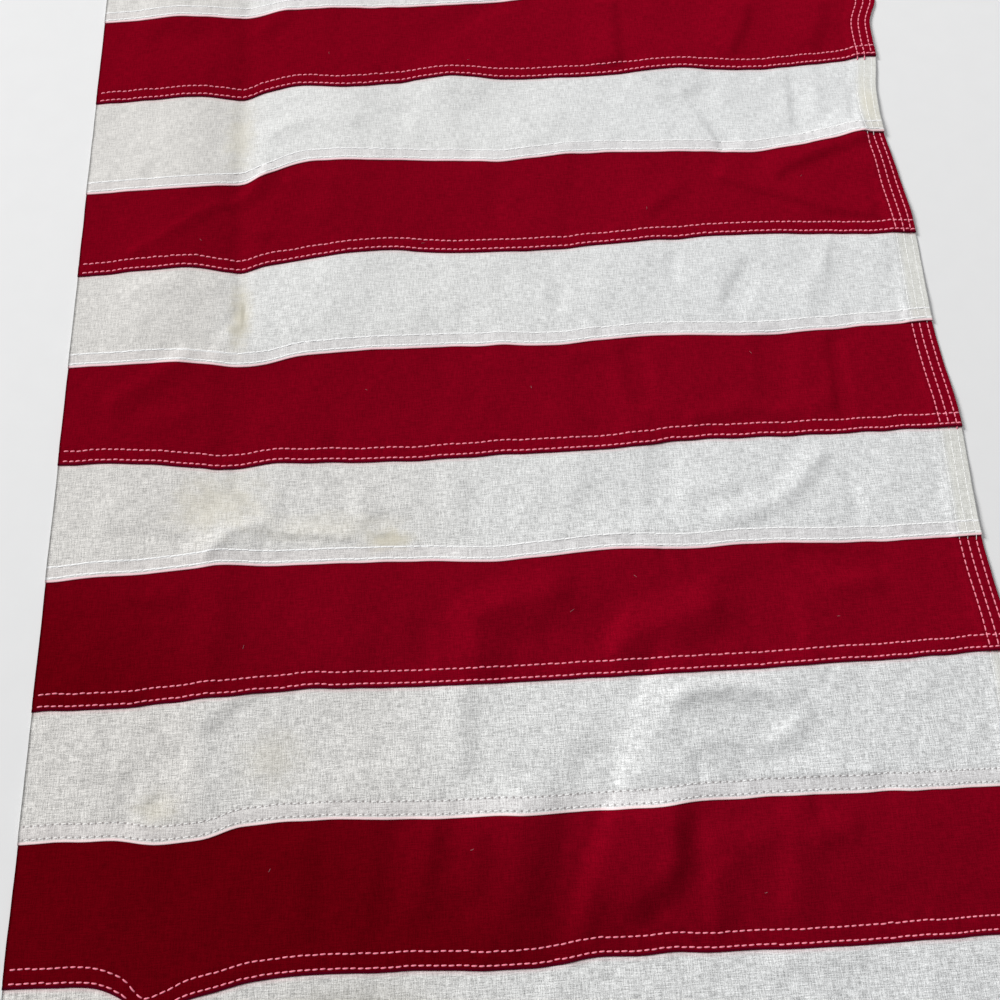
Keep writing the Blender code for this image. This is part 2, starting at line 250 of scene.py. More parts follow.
# Smaller creases, in the same form but with soft flanks only. A trough's height is
# below 0.
CREASES = (
    # the storage crease, stripe by stripe
    (((-183, 387), (-181, 330), (-178, 256)), -0.6, 12, 8),
    (((-180, 256), (-183, 178)), -0.4, 12, 7),
    (((-183, 176), (-181, 108)), -1.3, 14, 14),
    (((-180, 106), (-177, 66)), -0.9, 12, 5),
    (((-178, 68), (-198, 42)), -0.7, 6, 6),
    (((-176, 64), (-166, 44)), -0.7, 6, 6),
    (((-180, 28), (-182, -34)), -1.2, 30, 14),
    (((-178, -36), (-177, -56)), -0.9, 14, 5),
    # top left
    (((-250, 294), (-202, 296)), -0.9, 14, 20),
    (((-172, 292), (-160, 306), (-148, 318)), 1.0, 9, 12),
    (((-252, 114), (-225, 130), (-205, 145), (-188, 152)), 0.9, 6, 8),
    (((-187, 148), (-174, 158), (-162, 177)), 1.3, 6, 10),
    (((-194, 144), (-180, 130), (-158, 123)), 0.8, 5, 6),
    (((-168, 204), (-132, 217), (-100, 210)), 0.6, 10, 10),
    (((-76, 174), (-60, 161), (-44, 150)), 0.7, 7, 7),
    (((-150, 168), (-120, 164), (-118, 132)), 0.8, 10, 14),
    (((-252, 88), (-215, 92), (-190, 86)), 0.7, 8, 16),
    (((-150, 64), (-142, 42)), 0.6, 4, 4),
    # left half of the red stripe in the middle
    (((-258, 6), (-232, 24), (-206, 40)), 1.5, 10, 14),
    (((-236, -8), (-204, -2)), 0.9, 10, 12),
    (((-180, 28), (-160, 10), (-145, -2), (-120, -24)), 0.9, 7, 12),
    # top right
    (((-50, 282), (-20, 298), (8, 318)), -1.2, 18, 12),
    (((87, 312), (86, 280), (86, 252)), 2.0, 8, 28),
    (((188, 304), (180, 280), (167, 258)), 1.8, 8, 26),
    (((134, 224), (146, 202), (154, 176)), -1.5, 22, 5),
    (((211, 232), (207, 187)), -1.1, 18, 5),
    (((226, 236), (222, 196)), 0.35, 8, 6),
    (((254, 222), (250, 196)), -0.7, 14, 5),
    (((61, 174), (60, 116)), -1.8, 34, 30),
    (((-6, 165), (-8, 116)), -0.8, 12, 10),
    (((94, 128), (122, 148)), 1.0, 14, 6),
    (((146, 154), (168, 144), (186, 138), (220, 123), (248, 117)), 1.8, 24, 6),
    (((184, 152), (197, 160), (220, 170), (255, 180)), 1.8, 20, 7),
    (((138, 55), (149, 69), (160, 86)), -1.3, 8, 17),
    (((206, 80), (216, 104)), 0.4, 4, 6),
    (((150, 42), (160, 58)), 0.4, 6, 6),
    (((30, 84), (31, 56)), -0.8, 8, 8),
    (((109, 94), (107, 72)), -0.9, 6, 8),
    # right half of the red stripe in the middle
    (((102, -24), (140, -18), (172, -22)), 1.2, 13, 8),
    (((182, -20), (200, -14)), 1.0, 12, 8),
    (((48, 20), (52, -34)), -1.9, 16, 20),
    (((76, 28), (80, -12)), -1.9, 9, 13),
    (((168, 32), (161, -18)), -2.4, 16, 16),
    (((205, 28), (203, -28)), -1.8, 8, 7),
    # the white stripe below it, left to right
    (((-192, -94), (-180, -81), (-168, -76), (-152, -77)), 0.9, 7, 6),
    (((-174, -58), (-160, -72)), -1.1, 5, 5),
    (((-154, -81), (-128, -84), (-104, -88)), 1.2, 8, 4),
    (((-148, -69), (-136, -81)), -0.9, 5, 5),
    (((-88, -76), (-72, -82), (-60, -92), (-46, -99)), -1.8, 8, 5),
    (((-101, -58), (-99, -78)), 0.9, 8, 8),
    (((-246, -78), (-200, -84)), -0.9, 6, 4),
    (((-44, -44), (-42, -70)), 0.8, 12, 12),
    (((32, -42), (34, -66)), 0.9, 20, 18),
    (((14, -93), (50, -93), (98, -92)), 0.4, 7, 4),
    (((87, -40), (83, -58), (80, -80)), -1.6, 16, 11),
    (((92, -72), (128, -66)), 0.7, 20, 8),
    (((197, -62), (199, -92)), -1.0, 8, 7),
    # the red stripe under that
    (((-242, -116), (-204, -118)), 0.9, 16, 6),
    (((-182, -100), (-184, -140), (-190, -170)), 0.4, 14, 24),
    (((-113, -108), (-110, -162)), 1.4, 26, 34),
    (((-64, -140), (-62, -166)), -1.0, 8, 10),
    (((52, -132), (45, -146), (39, -160)), -2.2, 6, 14),
    (((137, -122), (136, -145), (139, -168)), -2.8, 20, 20),
    (((156, -111), (208, -119)), -2.4, 5, 12),
    (((78, -103), (81, -116)), -0.8, 5, 5),
    (((92, -106), (96, -120)), -0.7, 5, 5),
    (((172, -132), (204, -130)), 1.4, 10, 14),
    # the lowest whole white stripe
    (((-226, -176), (-212, -192), (-200, -211)), -1.1, 12, 5),
    (((-156, -170), (-178, -179), (-191, -192)), 1.3, 8, 20),
    (((-226, -214), (-228, -242)), -1.2, 7, 10),
    (((-222, -236), (-208, -225)), -0.9, 6, 7),
    (((-114, -214), (-86, -215)), -0.5, 5, 4),
    (((-92, -206), (-62, -207)), -0.4, 4, 4),
    (((-46, -176), (-46, -222)), 1.1, 12, 14),
    (((36, -216), (31, -230), (27, -244), (20, -260), (9, -282), (2, -304)), -2.3, 13, 24),
    (((116, -218), (128, -217), (140, -210), (151, -199)), 1.4, 8, 9),
    (((118, -181), (142, -187)), 0.7, 5, 6),
    (((114, -234), (150, -234), (184, -236)), 0.8, 11, 5),
    (((84, -220), (86, -236)), -0.9, 5, 6),
    # the lowest red stripe
    (((66, -252), (65, -273), (60, -280)), 0.8, 7, 30),
    (((37, -246), (30, -264), (19, -284), (12, -303)), 2.0, 26, 11),
    (((-136, -250), (-134, -300)), 1.4, 14, 30),
    (((-84, -248), (-88, -300)), -1.3, 10, 12),
    (((-72, -292), (-66, -268), (-62, -248)), 1.3, 12, 12),
    (((-40, -248), (-40, -264), (-46, -284)), 1.5, 12, 16),
    (((84, -306), (84, -290), (87, -281), (100, -274)), 1.7, 7, 15),
    (((82, -267), (104, -268), (126, -264)), 1.6, 15, 12),
    (((140, -266), (166, -262)), 1.8, 12, 14),
    (((146, -246), (147, -258)), -1.6, 5, 6),
    # the cut white stripe at the bottom
    (((-8, -336), (6, -315)), 0.9, 6, 16),
    (((62, -318), (66, -330)), -1.0, 5, 5),
    (((108, -326), (128, -326)), 0.6, 10, 5),
    (((136, -322), (160, -324)), 0.8, 6, 9),
    (((-96, -322), (-92, -340)), -0.9, 6, 6),
)

# Stain marks on the white stripes: centre, half width and height, strength. The one along the
# trough near (-84, -90) also darkens that trough: stain and painted shade.
STAINS_AND_SHADE_SPOTS = (
    ((-182, 205), (14, 40), 0.55),
    ((-177, 64), (10, 34), 0.9),
    ((-186, -62), (40, 26), 0.55),
    ((-84, -90), (20, 9), 1.0),
    ((262, 205), (9, 34), 0.7),
    ((-150, -210), (26, 22), 0.35),
    ((-212, -232), (18, 12), 0.5),
    ((-120, -80), (60, 12), 0.35),
)
# Darker stain marks, in the same form. The one along that trough and the broad one at the lower
# left are partly painted shade.
DARK_STAINS_AND_SHADE_SPOTS = (
    ((-176, 66), (2.2, 12), 0.7),
    ((-181, 55), (6, 6), 0.45),
    ((-88, -87), (14, 2.4), 0.4),
    ((-110, -334), (60, 20), 0.4),
)

# Specks of lint on the red stripes: place, length and turn in degrees
LINT = (
    ((-57, 112), 2.6, 10), ((-168, -148), 2.4, 70), ((22, -138), 3.0, 35), ((150, 20), 2.2, 120),
    ((-96, 8), 1.8, 150), ((95, 130), 2.0, 80), ((-20, 262), 1.6, 20), ((-120, 272), 1.8, 95),
    ((61, -120), 2.2, 140), ((-150, -266), 2.0, 60), ((112, -292), 1.8, 15), ((204, 150), 1.6, 45),
    ((-205, 122), 2.0, 130), ((8, 4), 1.6, 100), ((176, -150), 1.8, 5), ((-42, -262), 2.0, 25),
)

LINT_HEIGHT = 0.08 * MM
LINT_BEND = ((-1, 0.0), (-0.4, 0.12), (0.3, -0.1), (1, 0.0))    # along it and aside, as shares
LINT_SIZE = (0.12 * MM, 0.09 * MM)
LINT_TAPER = (0.6, 1.0, 1.0, 0.6)
LINT_SIDES = 5

# The one stripe along whose lower hem the needle holes are open, and how dark the painted shade in
# them is
OPEN_SEAM = 8
HOLE_STRENGTH = 0.7


def is_red(stripe):
    """Whether a stripe is red. They are numbered from the top, from 0, which is white."""
    return stripe % 2 == 1


def smooth_step(t):
    """A soft rise from 0 at t = 0 to 1 at t = 1."""
    t = np.clip(t, 0.0, 1.0)
    return t * t * (3 - 2 * t)


def smooth_through(points, places):
    """Values at the places on the smooth curve through (place, value) points."""
    at = np.array([p for p, _ in points], float)
    values = np.array([v for _, v in points], float)
    last = len(at) - 1
    before = np.maximum(np.arange(last + 1) - 1, 0)
    after = np.minimum(np.arange(last + 1) + 1, last)
    slopes = (values[after] - values[before]) / (at[after] - at[before])
    places = np.clip(places, at[0], at[-1])
    left = np.clip(np.searchsorted(at, places, side="right") - 1, 0, last - 1)
    span = at[left + 1] - at[left]
    t = (places - at[left]) / span
    return (
        (2 * t**3 - 3 * t**2 + 1) * values[left]
        + (t**3 - 2 * t**2 + t) * span * slopes[left]
        + (3 * t**2 - 2 * t**3) * values[left + 1]
        + (t**3 - t**2) * span * slopes[left + 1]
    )


def crest_length(crest):
    """How long a crest is, from its first point to its last."""
    return sum(math.dist(a, b) for a, b in zip(crest, crest[1:]))


def run_on(crest, extra):
    """A crest made longer at both ends, straight on."""

    def beyond(end, before):
        share = extra / math.dist(end, before)
        return (end[0] + (end[0] - before[0]) * share, end[1] + (end[1] - before[1]) * share)

    return (beyond(crest[0], crest[1]),) + crest[1:-1] + (beyond(crest[-1], crest[-2]),)


def from_crest(crest, x, y):
    """How far points lie from a crest, above 0 on its left, and how far along it."""
    nearest = np.full(np.shape(x), 1e6)
    walked = np.zeros(np.shape(x))
    before = 0.0
    for (x0, y0), (x1, y1) in zip(crest, crest[1:]):
        run_x = x1 - x0
        run_y = y1 - y0
        share = ((x - x0) * run_x + (y - y0) * run_y) / (run_x**2 + run_y**2)
        share = np.clip(share, 0.0, 1.0)
        distance = np.hypot(x - x0 - share * run_x, y - y0 - share * run_y)
        left = (y - y0) * run_x > (x - x0) * run_y
        closer = distance < np.abs(nearest)
        nearest = np.where(closer, np.where(left, distance, -distance), nearest)
        length = math.hypot(run_x, run_y)
        walked = np.where(closer, before + share * length, walked)
        before += length
    return nearest, walked


def flank(t, kind):
    """A fold's height as a share of its crest's, from t = 0 at the crest to 1 at its foot."""
    if kind == SHARP:
        return np.clip(1 - t * t, 0.0, 1.0)
    return 0.5 * (1 - smooth_step(t)) + 0.5 * (1 - np.clip(t, 0.0, 1.0))


def raised(crest, height, left, right, x, y):
    """How high one fold or crease lifts the cloth, all in millimetres."""
    fade = min(max(10, min(left[0], right[0])), 0.8 * crest_length(crest))
    longer = run_on(crest, fade / 2)
    away, walked = from_crest(longer, x, y)
    on_left = flank(np.abs(away) / left[0], left[1])
    on_right = flank(np.abs(away) / right[0], right[1])
    to_end = np.minimum(walked, crest_length(longer) - walked)
    return height * smooth_step(to_end / fade) * np.where(away > 0, on_left, on_right)


def ripples(x, y, wavelength, seed):
    """Even, random unevenness about 0 with a spread of about 1, in millimetres along x and y."""
    chance = np.random.default_rng(seed)
    total = np.zeros(np.shape(x))
    count = 28
    for _ in range(count):
        direction = chance.uniform(0, 2 * math.pi)
        turns = 2 * math.pi / (wavelength * chance.uniform(0.7, 1.6))
        wave_x = math.cos(direction) * turns
        wave_y = math.sin(direction) * turns
        total += np.sin(wave_x * x + wave_y * y + chance.uniform(0, 2 * math.pi))
    return total / math.sqrt(count / 2)


def cloth_height(x, y):
    """How high the cloth's underside lies over the floor, in metres."""
    x_mm = x / MM
    y_mm = y / MM
    to_rim = np.minimum(HALF_LENGTH - np.abs(x), HALF_WIDTH - np.abs(y))
    height = REST_HEIGHT / MM * (RIM_SHARE + (1 - RIM_SHARE) * smooth_step(to_rim / RIM))
    for crest, top, left, right in FOLDS:
        height += raised(crest, top, left, right, x_mm, y_mm)
    for crest, top, left, right in CREASES:
        height += raised(crest, top, (left, SOFT), (right, SOFT), x_mm, y_mm)
    for top, wavelength, seed in UNEVENNESS:
        height += top * ripples(x_mm, y_mm, wavelength, seed)
    return MM * (height + np.hypot(height, FLOOR_SOFTNESS)) / 2


def fly_inset(y):
    """How far the fly edge lies inside the half length."""
    return MM * smooth_through(FLY_WAVES, y / MM)


def pulled_x(along, y):
    """Where a place along a stripe comes to lie, with the fly edge's waves."""
    pull = smooth_step((along - HALF_LENGTH + SIDE_PULL) / SIDE_PULL)
    return along - fly_inset(y) * pull


def seam_y(seam, along):
    """Where a seam's visible edge runs. Seam 0 lies under the topmost stripe."""
    level = HALF_WIDTH - (seam + 1) * PITCH
    wave = SEAM_WAVE * ripples(along / MM, 0 * along, SEAM_WAVE_LENGTH, seed=60 + seam)
    return level + wave + MM * smooth_through(SEAM_DRIFT[seam], along / MM)


def edge_above(stripe, along):
    """The line under which a stripe comes out from the one above."""
    if stripe == 0:
        return np.full(np.shape(along), HALF_WIDTH - TUCK)
    return seam_y(stripe - 1, along)


def edge_below(stripe, along):
    """A stripe's lower edge: its hem, or the cut of the last one."""
    if stripe == LAST:
        return np.full(np.shape(along), -HALF_WIDTH)
    return seam_y(stripe, along)


def groove(away, depth):
    """How far a stitch row pulls the cloth down at a distance from the row."""
    return depth * np.exp(-((away / GROOVE_HALF) ** 2))


def rounded(inside):
    """The share of its thickness that a folded edge has at a distance inside it."""
    t = np.clip(inside / EDGE_ROUND, 0.0, 1.0)
    return 0.5 + 0.5 * np.sqrt(1 - (1 - t) ** 2)


def layers(stripe, along, up):
    """The sheet's underside and face over the cloth's height, at a distance up from its edge."""
    from_fly = HALF_LENGTH - along
    fly = smooth_step((FLY_HEM + FLY_RUN - from_fly) / FLY_RUN)
    single = CLOTH + FLY_EXTRA * fly
    hemmed = 0.0 if stripe == LAST else 1.0
    climb = hemmed * smooth_step((LAP + STEP_RUN - up) / STEP_RUN)
    under = climb * (single + AIR)
    thick = single + climb * (HEM_THICKNESS - CLOTH)
    edge = np.where(hemmed > 0, rounded(up), 1.0)
    face = under + thick * edge * rounded(from_fly)
    pulled = GROOVE_DEPTH if is_red(stripe) or stripe == OPEN_SEAM else 0.0
    for row in SEAM_ROWS:
        face = face - hemmed * groove(up - row, pulled)
    for row in FLY_ROWS:
        face = face - groove(from_fly - row, pulled)
    pucker = PUCKER * ripples(along / MM, 0 * up, PUCKER_LENGTH, seed=30 + stripe)
    close = np.exp(-((up - SEAM_ROWS[1]) / PUCKER_REACH) ** 2)
    face = face + hemmed * pucker * close
    return under, np.maximum(face, under + LEAST_LAYER)


def on_face(stripe, along, up):
    """The point on a stripe's face at a place along it, a distance up from its lower edge."""
    y = edge_below(stripe, along) + up
    x = pulled_x(along, y)
    _, face = layers(stripe, along, up)
    return np.stack([x, y, cloth_height(x, y) + face], axis=-1)


def columns():
    """Places along a stripe, close together at the fly hem."""
    near = np.array(NEAR_FLY) * MM
    past = np.arange(PAST_FLY * MM, 2 * HALF_LENGTH, COLUMN_STEP * MM)
    from_fly = np.concatenate([near, past, [2 * HALF_LENGTH]])
    return HALF_LENGTH - from_fly[::-1]


def rows_down(stripe, along):
    """Heights up from a stripe's lower edge, from its top edge down, one row of them a line."""
    width = edge_above(stripe, along) - edge_below(stripe, along)
    top = [width + TUCK, width + TUCK / 2, width] + [width - down * MM for down in UNDER_ABOVE]
    lowest_top = top[-1]
    highest_low = NEAR_HEM[0] * MM
    shares = np.linspace(1, 0, MIDDLE_ROWS + 2)[1:-1]
    middle = [highest_low + (lowest_top - highest_low) * share for share in shares]
    return np.stack(top + middle + [np.full_like(along, up * MM) for up in NEAR_HEM])


def grid_faces(row_count, column_count, first, upwards):
    """The quads of a grid of points, facing up or down."""
    r, c = np.meshgrid(np.arange(row_count - 1), np.arange(column_count - 1), indexing="ij")
    a = first + r * column_count + c
    quad = [a, a + column_count, a + column_count + 1, a + 1]
    if not upwards:
        quad = quad[::-1]
    return np.stack(quad, axis=-1).reshape(-1, 4)


def rim_faces(row_count, column_count, lower):
    """The quads that join a face to the underside along all four edges."""
    last_row = (row_count - 1) * column_count
    walk = (
        list(range(column_count - 1, 0, -1))
        + list(range(0, last_row, column_count))
        + list(range(last_row, last_row + column_count - 1))
        + list(range(last_row + column_count - 1, 0, -column_count))[:-1]
        + [column_count - 1]
    )
    a = np.array(walk)
    b = np.roll(a, -1)
    keep = a != b
    return np.stack([a, b, b + lower, a + lower], axis=-1)[keep]


def mesh_piece(name, points, faces, material):
    """A smooth mesh object, from lists of points and faces, on the one body there is."""
    mesh = bpy.data.meshes.new(name)
    mesh.from_pydata(points, [], faces)
    mesh.materials.append(material)
    mesh.shade_smooth()
    piece = bpy.data.objects.new(name, mesh)
    bpy.context.scene.collection.objects.link(piece)
    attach(piece, "root")
    return piece


def mark(piece, name, values):
    """Keeps a number for each point of a piece, which its material reads."""
    layer = piece.data.attributes.new(name, "FLOAT", "POINT")
    layer.data.foreach_set("value", np.asarray(values, np.float32).ravel())


def stripe_sheet(stripe, material):
    """One stripe: its face, its underside and its edges, as a closed thin sheet."""
    places = columns()
    up = rows_down(stripe, places)
    row_count, column_count = up.shape
    along = np.broadcast_to(places, up.shape)
    y = edge_below(stripe, places) + up
    x = pulled_x(along, y)
    base = cloth_height(x, y)
    under, face = layers(stripe, along, up)
    top = np.stack([x, y, base + face], axis=-1).reshape(-1, 3)
    bottom = np.stack([x, y, base + under], axis=-1).reshape(-1, 3)
    points = np.concatenate([top, bottom]).tolist()
    count = row_count * column_count
    faces = np.concatenate([
        grid_faces(row_count, column_count, 0, True),
        grid_faces(row_count, column_count, count, False),
        rim_faces(row_count, column_count, count),
    ])
    node = f"stripe_{stripe + 1:02d}"
    piece = mesh_piece(f"{node}_cloth", points, faces.tolist(), material)
    above = np.full_like(up, FAR)
    if stripe > 0:
        above = np.clip(edge_above(stripe, places) - y, 0, FAR)
    edge = np.full_like(up, FAR)
    in_hem = np.zeros_like(up)
    if stripe < LAST:
        edge = np.minimum(up, FAR)
        in_hem = smooth_step((SEAM_ROWS[1] + 1 * MM - up) / MM)
    mark(piece, "hem", np.tile(in_hem.ravel(), 2))
    mark(piece, "edge_mm", np.tile((edge / MM).ravel(), 2))
    mark(piece, "above_mm", np.tile((above / MM).ravel(), 2))
    mark(piece, "fly_mm", np.tile(((HALF_LENGTH - along) / MM).ravel(), 2))
    mark(piece, "holes", np.full(2 * count, HOLE_STRENGTH if stripe == OPEN_SEAM else 0.0))
    mark(piece, "hemmed", np.full(2 * count, 1.0 if stripe < LAST else 0.0))
    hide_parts(node)
    return piece


class Joined:
    """Gathers many small closed shapes into one mesh."""

    def __init__(self):
        self.points = []
        self.faces = []

    def tube(self, line, across, lift, radii, sides):
        """A closed tube along a line: across and lift are its half width and half height."""
        first = len(self.points)
        line = np.asarray(line)
        for i, (point, size) in enumerate(zip(line, radii)):
            ahead = line[min(i + 1, len(line) - 1)] - line[max(i - 1, 0)]
            ahead = ahead / max(np.linalg.norm(ahead), 1e-9)
            side = np.cross((0, 0, 1), ahead)
            side = side / max(np.linalg.norm(side), 1e-9)
            up = np.cross(ahead, side)
            for k in range(sides):
                turn = 2 * math.pi * k / sides
                reach = math.cos(turn) * across * size * side + math.sin(turn) * lift * size * up
                self.points.append(point + reach)
        rings = len(line)
        for i in range(rings - 1):
            for k in range(sides):
                a = first + i * sides + k
                b = first + i * sides + (k + 1) % sides
                self.faces.append((a, b, b + sides, a + sides))
        self.faces.append(tuple(first + k for k in reversed(range(sides))))
        last = first + (rings - 1) * sides
        self.faces.append(tuple(last + k for k in range(sides)))

    def piece(self, name, material, slot):
        """The gathered shapes as one object."""
        made = mesh_piece(name, [tuple(point) for point in self.points], self.faces, material)
        return made


def stitch(joined, start, end, width, meets=False):
    """One stitch, from one hole to the next, or low and meeting the next one in a line."""
    height = LINE_HEIGHT if meets else THREAD_HEIGHT
    rises = LINE_RISE if meets else STITCH_RISE
    sizes = LINE_SIZES if meets else STITCH_SIZES
    line = []
    for share, rise in zip(STITCH_SHARES, rises):
        point = start + (end - start) * share
        line.append(point + np.array((0, 0, rise * height)))
    joined.tube(line, width / 2, min(height, width) / 2, sizes, THREAD_SIDES)


def seam_stitches(joined, stripe, up, share, width, chance):
    """A row of stitches along a stripe's lower hem, each a share of the pitch long."""
    meets = share >= 1
    count = int(2 * HALF_LENGTH / STITCH_PITCH)
    holes = HALF_LENGTH - np.arange(1, count + 1) * STITCH_PITCH
    wander = np.array([chance.gauss(0, WANDER) * MM for _ in holes])
    lengths = np.array([STITCH_PITCH * (share + chance.gauss(0, LENGTH_SPREAD)) for _ in holes])
    starts = holes + (STITCH_PITCH - lengths) / 2
    first = on_face(stripe, starts, up + wander - SLANT)
    last = on_face(stripe, starts + lengths, up + wander + SLANT)
    for a, b in zip(first, last):
        stitch(joined, a, b, width, meets)


def stripe_at(along, y):
    """The stripe whose face shows at a place."""
    for seam in range(LAST):
        if y >= seam_y(seam, np.array(along)):
            return seam
    return LAST


def fly_stitches(on_red, on_white, inside, chance):
    """A row of stitches down the fly hem, across all the stripes."""
    along = HALF_LENGTH - inside
    y = HALF_WIDTH - chance.random() * STITCH_PITCH
    while y > -HALF_WIDTH + STITCH_PITCH:
        length = STITCH_PITCH * (FLY_LENGTH + chance.gauss(0, FLY_LENGTH_SPREAD))
        stripe = stripe_at(along, y)
        ends = []
        for place in (y, y - length):
            shown = stripe_at(along, place)
            up = place - edge_below(shown, np.array(along))
            ends.append(on_face(shown, np.array(along), np.array(up)))
        if is_red(stripe):
            stitch(on_red, ends[0], ends[1], THREAD_WIDTH)
        else:
            stitch(on_white, ends[0], ends[1], FINE_WIDTH, meets=True)
        y -= STITCH_PITCH


def lint(material):
    """Short bits of fibre on the red stripes."""
    joined = Joined()
    for (x, y), length, turn in LINT:
        heading = np.array((math.cos(math.radians(turn)), math.sin(math.radians(turn))))
        reach = length * MM / 2 * heading
        line = []
        for share, bend in LINT_BEND:
            place = np.array((x * MM, y * MM)) + reach * share + bend * reach[::-1]
            along = np.array(place[0])
            stripe = stripe_at(along, place[1])
            up = place[1] - edge_below(stripe, along)
            _, face = layers(stripe, along, up)
            line.append((*place, float(cloth_height(*place) + face + LINT_HEIGHT)))
        joined.tube(line, *LINT_SIZE, LINT_TAPER, LINT_SIDES)
    return joined.piece("lint", material, "white_thread")


def node_material(name):
    """A new node material, its node tree and its shader."""
    material = bpy.data.materials.new(name)
    material.use_nodes = True
    tree = material.node_tree
    return material, tree, tree.nodes["Principled BSDF"]


class Graph:
    """Short ways to add nodes to a material."""

    def __init__(self, tree):
        self.tree = tree
        self.place = tree.nodes.new("ShaderNodeTexCoord").outputs["Object"]

    def link(self, source, target):
        """Joins an output to an input."""
        self.tree.links.new(source, target)

    def put(self, socket, value):
        """Sets a socket to a number or colour, or joins it to an output."""
        if isinstance(value, bpy.types.NodeSocket):
            self.link(value, socket)
        else:
            socket.default_value = value

    def axis(self, name):
        """The place along one axis, in metres."""
        node = self.tree.nodes.new("ShaderNodeSeparateXYZ")
        self.link(self.place, node.inputs[0])
        return node.outputs[name]

    def math(self, operation, a, b=0.0, c=0.0):
        """What a math node makes of up to three numbers or outputs."""
        node = self.tree.nodes.new("ShaderNodeMath")
        node.operation = operation
        for socket, value in zip(node.inputs, (a, b, c)):
            self.put(socket, value)
        return node.outputs[0]

    def scaled(self, scale, shift=(0, 0, 0)):
        """The place on the cloth, shifted and then scaled along each axis."""
        node = self.tree.nodes.new("ShaderNodeVectorMath")
        node.operation = "SUBTRACT"
        self.link(self.place, node.inputs[0])
        node.inputs[1].default_value = shift
        times = self.tree.nodes.new("ShaderNodeVectorMath")
        times.operation = "MULTIPLY"
        self.link(node.outputs[0], times.inputs[0])
        times.inputs[1].default_value = scale
        return times.outputs[0]

    def noise(self, scale, detail=2.0, roughness=0.5, shift=(0, 0, 0)):
        """Even noise about 0.5, with a cell count per metre along each axis."""
        node = self.tree.nodes.new("ShaderNodeTexNoise")
        self.link(self.scaled(scale, shift), node.inputs["Vector"])
        node.inputs["Scale"].default_value = 1.0
        node.inputs["Detail"].default_value = detail
        node.inputs["Roughness"].default_value = roughness
        return node.outputs["Fac"]

    def mark(self, name):
        """The number kept for each point under a name."""
        node = self.tree.nodes.new("ShaderNodeAttribute")
        node.attribute_name = name
        return node.outputs["Fac"]

    def ramp(self, value, low, high, start, end):
        """A number that goes softly from start at low to end at high."""
        node = self.tree.nodes.new("ShaderNodeMapRange")
        node.interpolation_type = "SMOOTHSTEP"
        self.link(value, node.inputs["Value"])
        node.inputs["From Min"].default_value = low
        node.inputs["From Max"].default_value = high
        node.inputs["To Min"].default_value = start
        node.inputs["To Max"].default_value = end
        return node.outputs["Result"]

    def mix(self, share, a, b, kind="MIX"):
        """A mix of two colours."""
        node = self.tree.nodes.new("ShaderNodeMix")
        node.data_type = "RGBA"
        node.blend_type = kind
        self.put(node.inputs["Factor"], share)
        for name, value in (("A", a), ("B", b)):
            socket = [s for s in node.inputs if s.name == name and s.type == "RGBA"][0]
            self.put(socket, value)
        return [s for s in node.outputs if s.type == "RGBA"][0]

    def bump(self, height, relief):
        """The surface's direction with a fine relief, this deep."""
        node = self.tree.nodes.new("ShaderNodeBump")
        node.inputs["Distance"].default_value = relief
        node.inputs["Strength"].default_value = RELIEF_STRENGTH
        self.link(height, node.inputs["Height"])
        return node.outputs["Normal"]


def weave(graph, colour, depth):
    """Plain weave with slubs: the colour with its flecks, and the height of its threads."""
    across = 1 / FINEST
    warp = graph.ramp(graph.noise((across, 165, 1)), 0.34, 0.66, 0, 1)
    weft = graph.ramp(graph.noise((145, across, 1), shift=(3, 5, 0)), 0.34, 0.66, 0, 1)
    fleck = graph.ramp(graph.noise((across, across, 1), shift=(7, 2, 0)), 0.32, 0.68, 0, 1)
    tall_slub = graph.ramp(graph.noise((420, 36, 1), shift=(1, 9, 0)), 0.3, 0.7, 0, 1)
    wide_slub = graph.ramp(graph.noise((30, 380, 1), shift=(8, 3, 0)), 0.3, 0.7, 0, 1)
    threads = graph.math("ADD", warp, weft)
    threads = graph.math("MULTIPLY_ADD", fleck, 1.3, threads)
    slubs = graph.math("ADD", tall_slub, wide_slub)
    threads = graph.math("MULTIPLY_ADD", slubs, 0.18, threads)
    threads = graph.math("MULTIPLY", threads, 1 / 3.66)
    swing = graph.math("MULTIPLY_ADD", threads, 2.0, -1.0)
    shade = graph.math("MULTIPLY_ADD", swing, depth, 1.0)
    combine = graph.tree.nodes.new("ShaderNodeCombineColor")
    for socket in combine.inputs[:3]:
        graph.link(shade, socket)
    woven = graph.mix(1.0, colour, combine.outputs[0], "MULTIPLY")
    return woven, threads


def needle_hole_shade(graph):
    """How strongly the painted shade in a needle's hole shows: small dark dots in the two stitch
    rows of a seam.
    """
    steps = graph.math("MULTIPLY", graph.mark("fly_mm"), MM / STITCH_PITCH)
    along = graph.math("MULTIPLY", graph.math("PINGPONG", steps, 0.5), STITCH_PITCH / MM)
    total = None
    for row in SEAM_ROWS:
        up = graph.math("SUBTRACT", graph.mark("edge_mm"), row / MM)
        squares = graph.math("MULTIPLY_ADD", up, up, graph.math("MULTIPLY", along, along))
        dot = graph.ramp(graph.math("SQRT", squares), 0.35, 0.85, 1, 0)
        total = dot if total is None else graph.math("MAXIMUM", total, dot)
    return graph.math("MULTIPLY", total, graph.mark("holes"))


def thread_lines(graph):
    """Where white thread lies pressed into white cloth: thin lines along a seam's rows."""
    total = None
    for row in SEAM_ROWS:
        away = graph.math("ABSOLUTE", graph.math("SUBTRACT", graph.mark("edge_mm"), row / MM))
        near = graph.ramp(away, 0.35, 0.75, 0.85, 0)
        total = near if total is None else graph.math("MAXIMUM", total, near)
    closed = graph.ramp(graph.mark("holes"), 0.0, 0.1, 1, 0)
    return graph.math("MULTIPLY", total, graph.math("MULTIPLY", closed, graph.mark("hemmed")))


